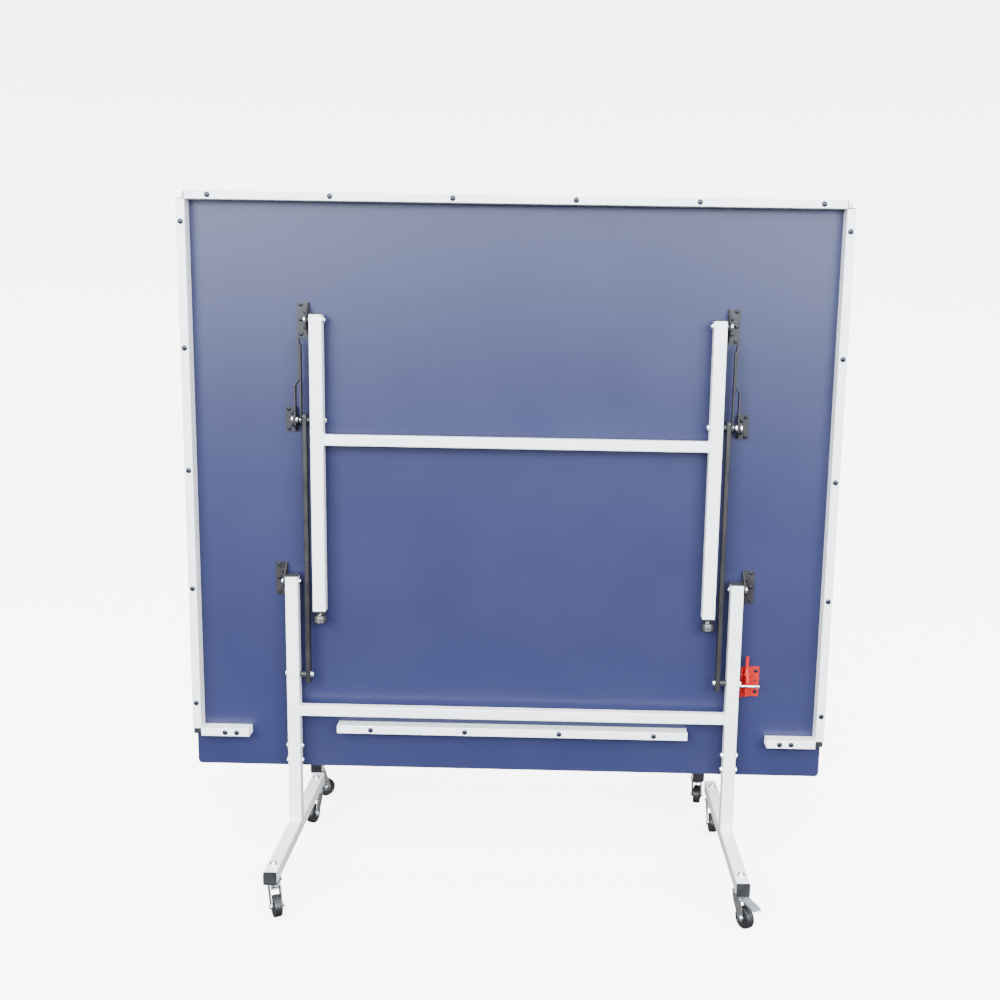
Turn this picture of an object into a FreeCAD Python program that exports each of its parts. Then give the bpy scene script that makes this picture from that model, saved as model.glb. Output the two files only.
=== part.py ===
import FreeCAD, Part
import os
import re
import Sketcher

# Folding table-tennis table in its storage position, millimetres, +Z up.
#
# The table is two equal halves. Each half is a tabletop on a wheeled base frame, and the second
# half is the first one turned half a turn about Z. The row origin is on the floor, midway between
# the halves. Pieces are modelled once, in the coordinates of one half:
#   X  across the table, 0 at the middle of the tabletop
#   Y  0 in the plane of the base posts, positive towards the other half
#   Z  0 on the floor

# ---------------------------------------------------------------- driving dimensions

DIMENSIONS = {
    # tabletop
    "table_width": 1525,
    "half_length": 1370,
    "board_thick": 15,
    "board_corner": 10,
    "play_height": 760,
    # linkage
    "pivot_gap": 33,          # from the tabletop's underside to every pivot axis
    "edge_to_pivot": 473,     # from the net edge to the post pivot
    "pivot_pitch": 612,       # from the post pivot to the leg pivot
    "link_drop": 229,         # from a pivot down to the link bar's bolt
    "brace_length": 166,      # from a brace strip's pivot to the knee
    "frame_shift": 11,        # the frames stand this far off the tabletop's middle
    "storage_gap": 640,       # between the two halves' posts
    # frame tubes
    "tube": 30,
    "tube_wall": 2,
    "tube_corner": 3,
    "crossbar": 25,
    "post_half": 525.5,
    "post_rise": 13,          # tube end above the pivot, on posts and legs
    "leg_half": 460.5,
    "base_bar_height": 394,
    "leg_bar_drop": 274,
    "leg_tube_drop": 681,
    # base
    "foot_length": 568,
    "foot_top": 115,
    "stub_size": 25.4,
    "stub_top": 322,
    "foot_bolt_low": 266,
    "foot_bolt_high": 302,
    "caster_half": 247,
    # apron rails under the tabletop
    "rail_face": 20,
    "rail_depth": 36,
    "rail_wall": 1.5,
    "rail_corner": 2,
    "side_rail_start": 103,
    "return_length": 116,
    "centre_rail_start": 97,
    "centre_rail_half": 423,
    "end_screw_pitch": 276.3,
    "side_screw_pitch": 283.6,
    "return_screw_pitch": 28,
    "centre_screw_pitch": 228,
    "side_screw_first": 166.2,
    # sheet brackets
    "sheet": 3,
    "ear_nose": 11,
    "hinge_height": 80,
    "hinge_width": 29,
    "brace_plate_height": 58,
    "brace_plate_width": 27,
    "leg_ear": 481.5,
    "post_ear": 542.5,
    "brace_ear": 513,
    # link bars and braces
    "link_half": 489.5,
    "link_thick": 10,
    "link_deep": 22,
    "strip_thick": 3,
    "strip_deep": 17,
    "strip_tail": 20,
    "inner_strip": 496,
    "outer_strip": 509.5,
    "outer_strip_top": 499.6,
    "crank_low": 80,
    "crank_high": 96,
    # fasteners
    "bolt": 4,
    "running": 0.1,
    "bolt_head": 6.5,
    "bolt_head_high": 5,
    "gap": 0.3,
    "spacer": 7,
    "screw_head": 5,
    "rail_screw_head": 6.5,
    "screw_high": 3.2,
    "screw_shank": 2,
    "screw_long": 11,
    # casters
    "wheel_radius": 25,
    "wheel_width": 18,
    "tread": 4,
    "axle": 3,
    "caster_trail": 20,
    "crown_top": 80,
    "crown_radius": 18,
    "fork_inside": 22,
    "fork_sheet": 2,
    "stem": 5,
    "pedal_hinge": 14,
    # levelling feet of the legs
    "leveller_radius": 17,
    "leveller_high": 20,
    "leveller_stem": 5,
    # storage latch
    "latch_inner": 559,
    "latch_width": 46,
    "latch_low": 442,
    "latch_high": 516,
    "latch_lever": 569,
    "latch_pin_height": 500,
    "strike_height": 476,
    "strike_end": 602,
}

SMALL_PLUG_CAP = 2
POST_CAP = 3
CORNER_PLUG_CAP = 14
PLUG_FIT = 0.15
PLUG_DEPTH = 8

PIVOT_Z = "(play_height - board_thick - pivot_gap)"
NET_Z = f"({PIVOT_Z} - edge_to_pivot)"
LEG_PIVOT_Z = f"({PIVOT_Z} + pivot_pitch)"
POST_X = "(frame_shift + post_half)"
LEG_X = "(frame_shift + leg_half)"

X_AXIS = FreeCAD.Vector(1, 0, 0)
Y_AXIS = FreeCAD.Vector(0, 1, 0)
Z_AXIS = FreeCAD.Vector(0, 0, 1)
UPRIGHT = FreeCAD.Rotation()
ALONG_X = FreeCAD.Rotation(Y_AXIS, 90)
ALONG_MINUS_X = FreeCAD.Rotation(Y_AXIS, -90)
ALONG_Y = FreeCAD.Rotation(X_AXIS, -90)
HALF_TURN = FreeCAD.Rotation(Z_AXIS, 180)

doc = FreeCAD.newDocument("TableTennisTable")
sheet = doc.addObject("Spreadsheet::Sheet", "Dims")
for row, (alias, number) in enumerate(DIMENSIONS.items(), start=1):
    sheet.set(f"A{row}", alias)
    sheet.set(f"B{row}", str(number))
    sheet.setAlias(f"B{row}", alias)
doc.recompute()


# ---------------------------------------------------------------- helpers

def bound(expression):
    """The expression with every cell's name given its sheet."""
    return re.sub(
        r"[a-z_]{3,}",
        lambda word: "Dims." + word.group() if word.group() in DIMENSIONS else word.group(),
        str(expression),
    )


def value(expression):
    return float(sheet.evalExpression(bound(expression)))


def new_body(name):
    return doc.addObject("PartDesign::Body", name)


def new_sketch(body, role):
    """A sketch on one of the body's own origin planes."""
    plane = next(item for item in body.Origin.OriginFeatures if item.Role == role)
    sketch = body.newObject("Sketcher::SketchObject", body.Name + "Sketch")
    sketch.AttachmentSupport = [(plane, "")]
    sketch.MapMode = "FlatFace"
    return sketch


def pin_point(sketch, geometry, point, across, up):
    """Hold a point of the sketch at bound distances from its origin."""
    for kind, expression in (("DistanceX", across), ("DistanceY", up)):
        constraint = Sketcher.Constraint(kind, -1, 1, geometry, point, value(expression))
        index = sketch.addConstraint(constraint)
        sketch.setExpression(f"Constraints[{index}]", bound(expression))


def polygon(sketch, points):
    """A closed outline through points given as pairs of expressions."""
    corners = [FreeCAD.Vector(value(across), value(up), 0) for across, up in points]
    first = sketch.GeometryCount
    count = len(corners)
    for index in range(count):
        sketch.addGeometry(Part.LineSegment(corners[index], corners[(index + 1) % count]))
    for index in range(count):
        after = first + (index + 1) % count
        sketch.addConstraint(Sketcher.Constraint("Coincident", first + index, 2, after, 1))
    for index, (across, up) in enumerate(points):
        pin_point(sketch, first + index, 1, across, up)


def rectangle(sketch, left, low, right, high):
    polygon(sketch, [(left, low), (right, low), (right, high), (left, high)])


def centred(sketch, width, height):
    rectangle(sketch, f"-({width})/2", f"-({height})/2", f"({width})/2", f"({height})/2")


def circle(sketch, across, up, radius):
    centre = FreeCAD.Vector(value(across), value(up), 0)
    index = sketch.addGeometry(Part.Circle(centre, Z_AXIS, value(radius)))
    pin_point(sketch, index, 3, across, up)
    size = sketch.addConstraint(Sketcher.Constraint("Radius", index, value(radius)))
    sketch.setExpression(f"Constraints[{size}]", bound(radius))


def pad(body, sketch, length, reverse=None):
    """Pad both ways from the sketch, or one way when reverse is given."""
    feature = body.newObject("PartDesign::Pad", body.Name + "Pad")
    feature.Profile = sketch
    if reverse is None:
        feature.SideType = "Symmetric"
    else:
        feature.Reversed = reverse
    feature.setExpression("Length", bound(length))
    doc.recompute()
    return feature


def cut_through(body, sketch):
    """Cut the sketch through the whole body, and make sure that it cut something."""
    before = body.Shape.Volume
    feature = body.newObject("PartDesign::Pocket", body.Name + "Pocket")
    feature.Profile = sketch
    feature.Type = "ThroughAll"
    feature.SideType = "Symmetric"
    doc.recompute()
    if body.Shape.Volume >= before:
        raise RuntimeError(body.Name + ": a pocket cut nothing")


def drill(body, role, centres, radius):
    sketch = new_sketch(body, role)
    for across, up in centres:
        circle(sketch, across, up, radius)
    cut_through(body, sketch)


def edges_along(shape, direction, wanted=None):
    """Names of straight edges along a direction, those that wanted(midpoint) accepts."""
    names = []
    for index, edge in enumerate(shape.Edges, start=1):
        if not isinstance(edge.Curve, Part.Line):
            continue
        if abs(abs(edge.Curve.Direction.dot(direction)) - 1) > 1e-6:
            continue
        if wanted is None or wanted(edge.CenterOfMass):
            names.append(f"Edge{index}")
    return names


def round_edges(body, direction, radius, wanted=None):
    base = body.Tip
    names = edges_along(base.Shape, direction, wanted)
    feature = body.newObject("PartDesign::Fillet", body.Name + "Fillet")
    feature.Base = (base, names)
    feature.setExpression("Radius", bound(radius))
    doc.recompute()


def place(piece, across, deep, up, rotation=UPRIGHT):
    piece.Placement = FreeCAD.Placement(FreeCAD.Vector(), rotation)
    piece.setExpression(".Placement.Base.x", bound(across))
    piece.setExpression(".Placement.Base.y", bound(deep))
    piece.setExpression(".Placement.Base.z", bound(up))
    return piece


def copy_of(piece, across, deep, up, rotation=UPRIGHT):
    """One more of the same piece, somewhere else."""
    link = doc.addObject("App::Link", piece.Name + "Copy")
    link.LinkedObject = piece
    return place(link, across, deep, up, rotation)


def other_hand(piece, plane="frame_shift"):
    """The opposite-hand piece, across a plane of constant X."""
    twin = doc.addObject("Part::Mirroring", piece.Name + "Twin")
    twin.Source = piece
    twin.Normal = X_AXIS
    twin.setExpression(".Base.x", bound(plane))
    return twin


def pair(piece, plane="frame_shift"):
    return [piece, other_hand(piece, plane)]


def copies_each_side(piece, out, deep, up, rotation=UPRIGHT, left_rotation=UPRIGHT):
    """Two more of a piece, the same distance out each side of the frames' middle."""
    right = copy_of(piece, f"frame_shift + {out}", deep, up, rotation)
    left = copy_of(piece, f"frame_shift - {out}", deep, up, left_rotation)
    return [right, left]


# ---------------------------------------------------------------- tubes, plugs and bolts

def square_tube(name, length, size, wall, corner):
    """A square tube along Z, centred on the origin."""
    body = new_body(name)
    profile = new_sketch(body, "XY_Plane")
    centred(profile, size, size)
    centred(profile, f"{size} - 2*{wall}", f"{size} - 2*{wall}")
    pad(body, profile, length)
    edge = value(size) / 2
    round_edges(body, Z_AXIS, corner, lambda p: abs(p.x) > edge - 0.1 and abs(p.y) > edge - 0.1)
    return body


def end_plug(name, width, depth, wall, cap):
    """A plastic plug: a cap above the origin and an insert below it."""
    body = new_body(name)
    rim = new_sketch(body, "XY_Plane")
    centred(rim, width, depth)
    pad(body, rim, cap, reverse=False)
    round_edges(body, Z_AXIS, "1.5")
    insert = new_sketch(body, "XY_Plane")
    inside = f"2*({wall} + {PLUG_FIT})"
    centred(insert, f"{width} - {inside}", f"{depth} - {inside}")
    pad(body, insert, PLUG_DEPTH, reverse=True)
    return body


def ring(name, outer, inner, length):
    """A round spacer or bush along Z, from the origin up."""
    body = new_body(name)
    profile = new_sketch(body, "XY_Plane")
    circle(profile, "0", "0", outer)
    circle(profile, "0", "0", inner)
    pad(body, profile, length, reverse=False)
    return body


def solid_of_revolution(name, outline):
    """A turned piece about Z: the outline's points are (radius, height)."""
    body = new_body(name)
    profile = new_sketch(body, "XZ_Plane")
    polygon(profile, outline)
    turn = body.newObject("PartDesign::Revolution", name + "Turn")
    turn.Profile = profile
    turn.ReferenceAxis = (profile, ["V_Axis"])
    turn.Angle = 360
    doc.recompute()
    return body


def bolt(name, grip, radius="bolt"):
    """A bolt along Z: its head under the origin, a dome nut above the grip."""
    across = "bolt_head"
    return solid_of_revolution(name, [
        ("0", "-bolt_head_high"),
        (f"{across}*0.8", "-bolt_head_high"),
        (across, "-bolt_head_high*0.6"),
        (across, "0"),
        (radius, "0"),
        (radius, grip),
        (across, grip),
        (across, f"{grip} + 3.5"),
        (f"{across}*0.85", f"{grip} + 5.5"),
        (f"{across}*0.5", f"{grip} + 7.2"),
        ("0", f"{grip} + 7.8"),
    ])


# ---------------------------------------------------------------- base frame

def base_posts():
    length = f"({PIVOT_Z} + post_rise - foot_top)"
    middle = f"({PIVOT_Z} + post_rise + foot_top)/2"
    post = square_tube("Post", length, "tube", "tube_wall", "tube_corner")
    heights = [PIVOT_Z, f"{PIVOT_Z} - link_drop", "foot_bolt_low", "foot_bolt_high"]
    drill(post, "YZ_Plane", [("0", f"{height} - {middle}") for height in heights], "bolt + 0.02")
    place(post, POST_X, "0", middle)
    return pair(post)


def base_crossbar():
    bar = square_tube("BaseBar", "2*post_half - tube", "crossbar", "tube_wall", "tube_corner")
    return [place(bar, "frame_shift", "0", "base_bar_height", ALONG_X)]


def foot_tubes():
    foot = square_tube("FootTube", "foot_length", "tube", "tube_wall", "tube_corner")
    drill(foot, "XZ_Plane", [("0", "caster_half"), ("0", "-caster_half")], "stem + 0.02")
    place(foot, POST_X, "0", "foot_top - tube/2", ALONG_Y)
    return pair(foot)


def foot_stubs():
    length = "(stub_top - foot_top)"
    middle = "(stub_top + foot_top)/2"
    stub = square_tube("FootStub", length, "stub_size", "tube_wall", "tube_corner - 1")
    heights = ["foot_bolt_low", "foot_bolt_high"]
    drill(stub, "YZ_Plane", [("0", f"{height} - {middle}") for height in heights], "bolt + 0.02")
    place(stub, POST_X, "0", middle)
    return pair(stub)


def foot_plugs():
    plug = end_plug("FootPlug", "tube", "tube", "tube_wall", "3")
    place(plug, POST_X, "-foot_length/2", "foot_top - tube/2", FreeCAD.Rotation(X_AXIS, 90))
    far = copies_each_side(plug, "post_half", "foot_length/2", "foot_top - tube/2",
                           ALONG_Y, ALONG_Y)
    return pair(plug) + far


def post_caps():
    cap = end_plug("PostCap", "tube", "tube", "tube_wall", POST_CAP)
    place(cap, POST_X, "0", f"{PIVOT_Z} + post_rise")
    return pair(cap)


def foot_bolts():
    low = bolt("FootBolt", "tube")
    place(low, f"{POST_X} + tube/2", "0", "foot_bolt_low", ALONG_MINUS_X)
    high = copies_each_side(low, "(post_half + tube/2)", "0", "foot_bolt_high",
                            ALONG_MINUS_X, ALONG_X)
    return pair(low) + high


def post_pivot_bolts():
    outer_face = "(post_ear + sheet + gap)"
    pivot = bolt("PostPivotBolt", f"{outer_face} - (post_half - tube/2)")
    place(pivot, f"frame_shift + {outer_face}", "0", PIVOT_Z, ALONG_MINUS_X)
    return pair(pivot)


def link_base_bolts():
    """The link bar's lower bolt, from the post's outer side to the bar's inner side."""
    grip = "(post_half + tube/2) - (link_half - link_thick/2 - gap)"
    pin = bolt("LinkBaseBolt", grip)
    place(pin, f"{POST_X} + tube/2", "0", f"{PIVOT_Z} - link_drop", ALONG_MINUS_X)
    return pair(pin)


def link_base_spacers():
    length = "(post_half - tube/2) - (link_half + link_thick/2) - gap"
    spacer = ring("LinkBaseSpacer", "spacer", "bolt + 0.02", length)
    start = f"{POST_X} - tube/2"
    place(spacer, start, "0", f"{PIVOT_Z} - link_drop", ALONG_MINUS_X)
    return pair(spacer)


def strike_pin():
    """The pin on one post's outer side that the storage latch sits over."""
    pin = solid_of_revolution("StrikePin", [
        ("0", "0"), ("3.5", "0"), ("3.5", f"strike_end - ({POST_X} + tube/2)"),
        ("0", f"strike_end - ({POST_X} + tube/2)"),
    ])
    return [place(pin, f"{POST_X} + tube/2", "0", "strike_height", ALONG_X)]


# ---------------------------------------------------------------- casters

def caster_stems():
    """The threaded stem through the foot tube, its dome nut on top and its race below."""
    stem = solid_of_revolution("CasterStem", [
        ("0", "crown_top - 6"),
        ("6", "crown_top - 6"),
        ("6", "crown_top - fork_sheet - gap"),
        ("stem", "crown_top - fork_sheet - gap"),
        ("stem", "crown_top + gap"),
        ("11", "crown_top + gap"),
        ("11", "foot_top - tube"),
        ("stem", "foot_top - tube"),
        ("stem", "foot_top"),
        ("8.5", "foot_top"),
        ("8.5", "foot_top + 5"),
        ("6.5", "foot_top + 8"),
        ("0", "foot_top + 9.5"),
    ])
    place(stem, POST_X, "-caster_half", "0")
    return pair(stem) + copies_each_side(stem, "post_half", "caster_half", "0")


def caster_fork():
    """A pressed fork about the swivel axis, with its wheel trailing towards -Y."""
    body = new_body("CasterFork")
    crown = new_sketch(body, "XY_Plane")
    circle(crown, "0", "0", "crown_radius")
    pad(body, crown, "fork_sheet", reverse=True)
    drop = "(crown_top - wheel_radius)"
    cheek = new_sketch(body, "YZ_Plane")
    polygon(cheek, [
        ("-crown_radius*0.78", "0"),
        ("-(caster_trail + 9)", f"-{drop} + 4"),
        ("-(caster_trail + 7)", f"-{drop} - 7"),
        ("-(caster_trail - 7)", f"-{drop} - 7"),
        ("crown_radius*0.45", "-22"),
        ("crown_radius*0.78", "0"),
    ])
    pad(body, cheek, "fork_inside + 2*fork_sheet")
    between = new_sketch(body, "XZ_Plane")
    rectangle(between, "-fork_inside/2", f"-{drop} - 10", "fork_inside/2", "-fork_sheet")
    cut_through(body, between)
    drill(body, "XY_Plane", [("0", "0")], "stem + running")
    drill(body, "YZ_Plane", [("-caster_trail", f"-{drop}")], "axle + 0.02")
    round_edges(body, Z_AXIS, "2", lambda p: abs(p.x) > 5 and p.z > -value(drop) - 6.9)
    return body


def caster_axle():
    half = "fork_inside/2 + fork_sheet"
    return solid_of_revolution("CasterAxle", [
        ("0", f"-({half}) - 3"),
        ("5.5", f"-({half}) - 3"),
        ("5.5", f"-({half})"),
        ("axle", f"-({half})"),
        ("axle", half),
        ("5.5", half),
        ("5.5", f"{half} + 4"),
        ("0", f"{half} + 4"),
    ])


def caster_wheel():
    """A wheel about its own Z: a hub, a thin web and a crowned rim with its tread."""
    bore = "axle + running"
    half = "wheel_width/2"
    return solid_of_revolution("CasterWheel", [
        (bore, f"-({half}) - 1"),
        ("7", f"-({half}) - 1"),
        ("8", f"-({half}) + 3"),
        ("wheel_radius - tread - 3", f"-({half}) + 3"),
        ("wheel_radius - tread", f"-({half})"),
        ("wheel_radius - 1", f"-({half}) + 0.8"),
        ("wheel_radius", "-4"),
        ("wheel_radius", "4"),
        ("wheel_radius - 1", f"{half} - 0.8"),
        ("wheel_radius - tread", half),
        ("wheel_radius - tread - 3", f"{half} - 3"),
        ("8", f"{half} - 3"),
        ("7", f"{half} + 1"),
        (bore, f"{half} + 1"),
    ])


def brake_pedal():
    """A pedal over the wheel, pivoting on the fork's trailing edge; its tip points to -Y."""
    body = new_body("BrakePedal")
    side = new_sketch(body, "YZ_Plane")
    polygon(side, [
        ("4", "-4"),
        ("4", "3"),
        ("-8", "5"),
        ("-50", "-3"),
        ("-51", "-6"),
        ("-49", "-7"),
        ("-8", "0"),
        ("-4", "-4"),
    ])
    pad(body, side, "fork_inside - 2")
    grips = new_sketch(body, "YZ_Plane")
    for index in range(5):
        start = -25 - 4.5 * index
        low = 5 - 8 * (-8 - start) / 42 - 1
        rectangle(grips, start - 1.6, low - 0.6, start, low + 2.2)
    pad(body, grips, "fork_inside - 2")
    drill(body, "YZ_Plane", [("0", "0")], "1.6")
    return body


def pedal_pin():
    half = "fork_inside/2 + fork_sheet"
    return solid_of_revolution("PedalPin", [
        ("0", f"-({half}) - 1"), ("3", f"-({half}) - 1"), ("3", f"-({half})"),
        ("1.5", f"-({half})"), ("1.5", half), ("3", half),
        ("3", f"{half} + 1"), ("0", f"{half} + 1"),
    ])


# Each caster: name, X side, Y side, swivel about +Z in degrees on the front and on the rear half,
# and whether it has a brake.
CASTERS = [
    ("outer_left", -1, -1, {"front": 27, "rear": 12}, False),
    ("outer_right", 1, -1, {"front": 28, "rear": -28}, True),
    ("inner_left", -1, 1, {"front": -16, "rear": -14}, True),
    ("inner_right", 1, 1, {"front": 3, "rear": -55}, False),
]


# ---------------------------------------------------------------- tabletop

def table_board():
    body = new_body("TableBoard")
    outline = new_sketch(body, "XZ_Plane")
    rectangle(outline, "-table_width/2", "0", "table_width/2", "half_length")
    pad(body, outline, "board_thick", reverse=True)
    round_edges(body, Y_AXIS, "board_corner")
    return [place(body, "0", "pivot_gap", NET_Z)]


def apron_rail(name, length, screws):
    """A rectangular tube along Z that lies on the underside, drilled for its screws."""
    body = new_body(name)
    profile = new_sketch(body, "XY_Plane")
    centred(profile, "rail_face", "rail_depth")
    centred(profile, "rail_face - 2*rail_wall", "rail_depth - 2*rail_wall")
    pad(body, profile, length)
    side = value("rail_face") / 2
    face = value("rail_depth") / 2
    round_edges(body, Z_AXIS, "rail_corner",
                lambda p: abs(p.x) > side - 0.1 and abs(p.y) > face - 0.1)
    drill(body, "XZ_Plane", [("0", height) for height in screws], "screw_shank + 0.02")
    return body


RAIL_Y = "(pivot_gap - rail_depth/2)"
SIDE_RAIL_X = "(table_width/2 - rail_face/2)"
SIDE_RAIL_LENGTH = "(half_length - rail_face - side_rail_start)"
SIDE_RAIL_MIDDLE = "((half_length - rail_face + side_rail_start)/2)"
END_RAIL_LENGTH = "(table_width - 2*rail_face)"
RETURN_LOW = "(side_rail_start - rail_face)"
RETURN_MIDDLE = "(table_width/2 - rail_face - return_length/2)"


def side_screw_heights():
    return [f"side_screw_first + {index}*side_screw_pitch" for index in range(5)]


def end_screw_places():
    return [f"{index - 2.5}*end_screw_pitch" for index in range(6)]


def return_screw_places():
    return ["-return_screw_pitch", "0"]


def centre_screw_places():
    return [f"{index - 1.5}*centre_screw_pitch" for index in range(4)]


def end_rail():
    rail = apron_rail("EndRail", END_RAIL_LENGTH, end_screw_places())
    return [place(rail, "0", RAIL_Y, f"{NET_Z} + half_length - rail_face/2", ALONG_X)]


def side_rails():
    screws = [f"{height} - {SIDE_RAIL_MIDDLE}" for height in side_screw_heights()]
    rail = apron_rail("SideRail", SIDE_RAIL_LENGTH, screws)
    place(rail, SIDE_RAIL_X, RAIL_Y, f"{NET_Z} + {SIDE_RAIL_MIDDLE}")
    return pair(rail, "0")


def corner_returns():
    rail = apron_rail("CornerReturn", "return_length", return_screw_places())
    place(rail, RETURN_MIDDLE, RAIL_Y, f"{NET_Z} + {RETURN_LOW} + rail_face/2", ALONG_X)
    return pair(rail, "0")


def centre_rail():
    rail = apron_rail("CentreRail", "2*centre_rail_half", centre_screw_places())
    return [place(rail, "frame_shift", RAIL_Y, f"{NET_Z} + centre_rail_start + rail_face/2", ALONG_X)]


def rail_plugs():
    end = end_plug("EndRailPlug", "rail_face", "rail_depth", "rail_wall", "1.5")
    place(end, f"{END_RAIL_LENGTH}/2", RAIL_Y, f"{NET_Z} + half_length - rail_face/2", ALONG_X)
    top = end_plug("SideRailTopPlug", "rail_face", "rail_depth", "rail_wall", SMALL_PLUG_CAP)
    place(top, SIDE_RAIL_X, RAIL_Y, f"{NET_Z} + half_length - rail_face")
    low = end_plug("SideRailLowPlug", "rail_face - 3", "rail_depth - 3", "rail_wall - 1.2",
                   CORNER_PLUG_CAP)
    place(low, SIDE_RAIL_X, RAIL_Y, f"{NET_Z} + side_rail_start", FreeCAD.Rotation(X_AXIS, 180))
    return pair(end, "0") + pair(top, "0") + pair(low, "0")


def dome_screw(name, shank, head="screw_head"):
    """A dome-head screw along Z: its head under the origin, its shank above."""
    return solid_of_revolution(name, [
        ("0", "-screw_high"),
        (f"{head}*0.5", "-screw_high*0.88"),
        (f"{head}*0.85", "-screw_high*0.5"),
        (head, "0"),
        ("screw_shank", "0"),
        ("screw_shank", shank),
        ("0", shank),
    ])


def apron_screws():
    """Every screw through the apron rails, seated on the rails' outer faces."""
    face = "pivot_gap - rail_depth"
    places = [(x, f"{NET_Z} + half_length - rail_face/2") for x in end_screw_places()]
    for side in (1, -1):
        x_side = f"{side}*{SIDE_RAIL_X}"
        places += [(x_side, f"{NET_Z} + {height}") for height in side_screw_heights()]
        low = f"{NET_Z} + {RETURN_LOW} + rail_face/2"
        places += [(f"{side}*({RETURN_MIDDLE} + {x})", low) for x in return_screw_places()]
    low = f"{NET_Z} + centre_rail_start + rail_face/2"
    places += [(f"frame_shift + {x}", low) for x in centre_screw_places()]
    first = dome_screw("RailScrew", "rail_depth + screw_long", "rail_screw_head")
    place(first, places[0][0], face, places[0][1], ALONG_Y)
    return [first] + [copy_of(first, x, face, z, ALONG_Y) for x, z in places[1:]]


# ---------------------------------------------------------------- brackets

def bracket(name, ear_inner, height, width):
    """An L of sheet: a plate on the underside and an ear that carries the pivot.

    The origin is on the pivot axis, in the plane midway between the two frames' sides.
    """
    body = new_body(name)
    plate = new_sketch(body, "XZ_Plane")
    rectangle(plate, ear_inner, f"-{height}/2", f"{ear_inner} + {width}", f"{height}/2")
    pad(body, plate, "2*pivot_gap")
    hollow = new_sketch(body, "YZ_Plane")
    rectangle(hollow, "-pivot_gap - 1", f"-{height}/2 - 1", "pivot_gap - sheet", f"{height}/2 + 1")
    cut_through(body, hollow)
    ear = new_sketch(body, "YZ_Plane")
    nose = "ear_nose"
    polygon(ear, [
        ("pivot_gap - 1", f"-{height}/2"),
        ("pivot_gap - 1", f"{height}/2"),
        ("pivot_gap - sheet - 2", f"{height}/2"),
        (f"-{nose}*0.45", nose),
        (f"-{nose}", f"{nose}*0.45"),
        (f"-{nose}", f"-{nose}*0.45"),
        (f"-{nose}*0.45", f"-{nose}"),
        ("pivot_gap - sheet - 2", f"-{height}/2"),
    ])
    ear.setExpression(".AttachmentOffset.Base.z", bound(ear_inner))
    pad(body, ear, "sheet", reverse=False)
    drill(body, "YZ_Plane", [("0", "0")], "bolt + running")
    return body


def post_brackets():
    plate = bracket("PostBracket", "post_ear", "hinge_height", "hinge_width")
    return pair(place(plate, "frame_shift", "0", PIVOT_Z))


def leg_brackets():
    plate = bracket("LegBracket", "leg_ear", "hinge_height", "hinge_width")
    return pair(place(plate, "frame_shift", "0", LEG_PIVOT_Z))


def brace_brackets():
    plate = bracket("BraceBracket", "brace_ear", "brace_plate_height", "brace_plate_width")
    return pair(place(plate, "frame_shift", "0", f"{LEG_PIVOT_Z} - link_drop"))


def brace_bracket_bolts():
    """The braces' upper pivots: a short bolt through the ear and the outer strip."""
    face = "(brace_ear + sheet + 0.05)"
    pin = bolt("BraceBracketBolt", f"{face} - (outer_strip - gap)")
    return pair(place(pin, f"frame_shift + {face}", "0", f"{LEG_PIVOT_Z} - link_drop", ALONG_MINUS_X))


def bracket_screw_places():
    """(distance from the ear's inner face, height) of each screw, for every bracket."""
    hinge = [(20, 35), (9, 18), (20, 1), (9, -17), (20, -33)]
    brace = [(20, 23), (11, 14), (11, -14), (20, -23)]
    rows = [("post_ear", PIVOT_Z, hinge), ("leg_ear", LEG_PIVOT_Z, hinge)]
    rows.append(("brace_ear", f"({LEG_PIVOT_Z} - link_drop)", brace))
    for ear, height, pattern in rows:
        for out, up in pattern:
            yield f"({ear} + {out})", f"{height} + {up}"


def bracket_screws():
    face = "pivot_gap - sheet"
    first = dome_screw("PanelScrew", "screw_long")
    screws = []
    for out, height in bracket_screw_places():
        for side in (1, -1):
            across = f"frame_shift + {side}*{out}"
            if screws:
                screws.append(copy_of(first, across, face, height, ALONG_Y))
            else:
                screws.append(place(first, across, face, height, ALONG_Y))
    for height in ("latch_low + 12", "latch_high - 10"):
        screws.append(copy_of(first, "latch_inner + latch_width - 8", face, height, ALONG_Y))
    return screws


# ---------------------------------------------------------------- storage latch

def latch_plate():
    """A sheet plate on the underside, its slanted guide flange and the lever's ear."""
    body = new_body("LatchPlate")
    section = new_sketch(body, "XY_Plane")
    polygon(section, [
        ("latch_inner + latch_width", "pivot_gap"),
        ("latch_inner + 12", "pivot_gap"),
        ("latch_inner", "pivot_gap - 15"),
        ("latch_inner + 2.4", "pivot_gap - 17"),
        ("latch_inner + 13.6", "pivot_gap - sheet"),
        ("latch_inner + latch_width", "pivot_gap - sheet"),
    ])
    pad(body, section, "latch_high - latch_low")
    ear = new_sketch(body, "YZ_Plane")
    ear.setExpression(".AttachmentOffset.Base.z", bound("latch_lever + 8"))
    rectangle(ear, "pivot_gap - 25", "12", "pivot_gap - 1", "30")
    pad(body, ear, "2.5", reverse=False)
    drill(body, "YZ_Plane", [("pivot_gap - 17", "latch_pin_height - (latch_low + latch_high)/2")], "2.52")
    drill(body, "XZ_Plane", [("latch_inner + latch_width - 9", "2")], "2.5")
    drill(body, "XZ_Plane", [("latch_inner + 5.5", height) for height in ("24", "6", "-22")], "2.6")
    return [place(body, "0", "0", "(latch_low + latch_high)/2")]


def latch_pin():
    """The lever's pivot, riveted in the latch plate's ear."""
    pin = solid_of_revolution("LatchPin", [
        ("0", "-3"), ("4.5", "-3"), ("4.5", "-gap"), ("2.5", "-gap"),
        ("2.5", "11"), ("4", "11"), ("4", "13"), ("0", "13"),
    ])
    return [place(pin, "latch_lever", "pivot_gap - 17", "latch_pin_height", ALONG_X)]


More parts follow.
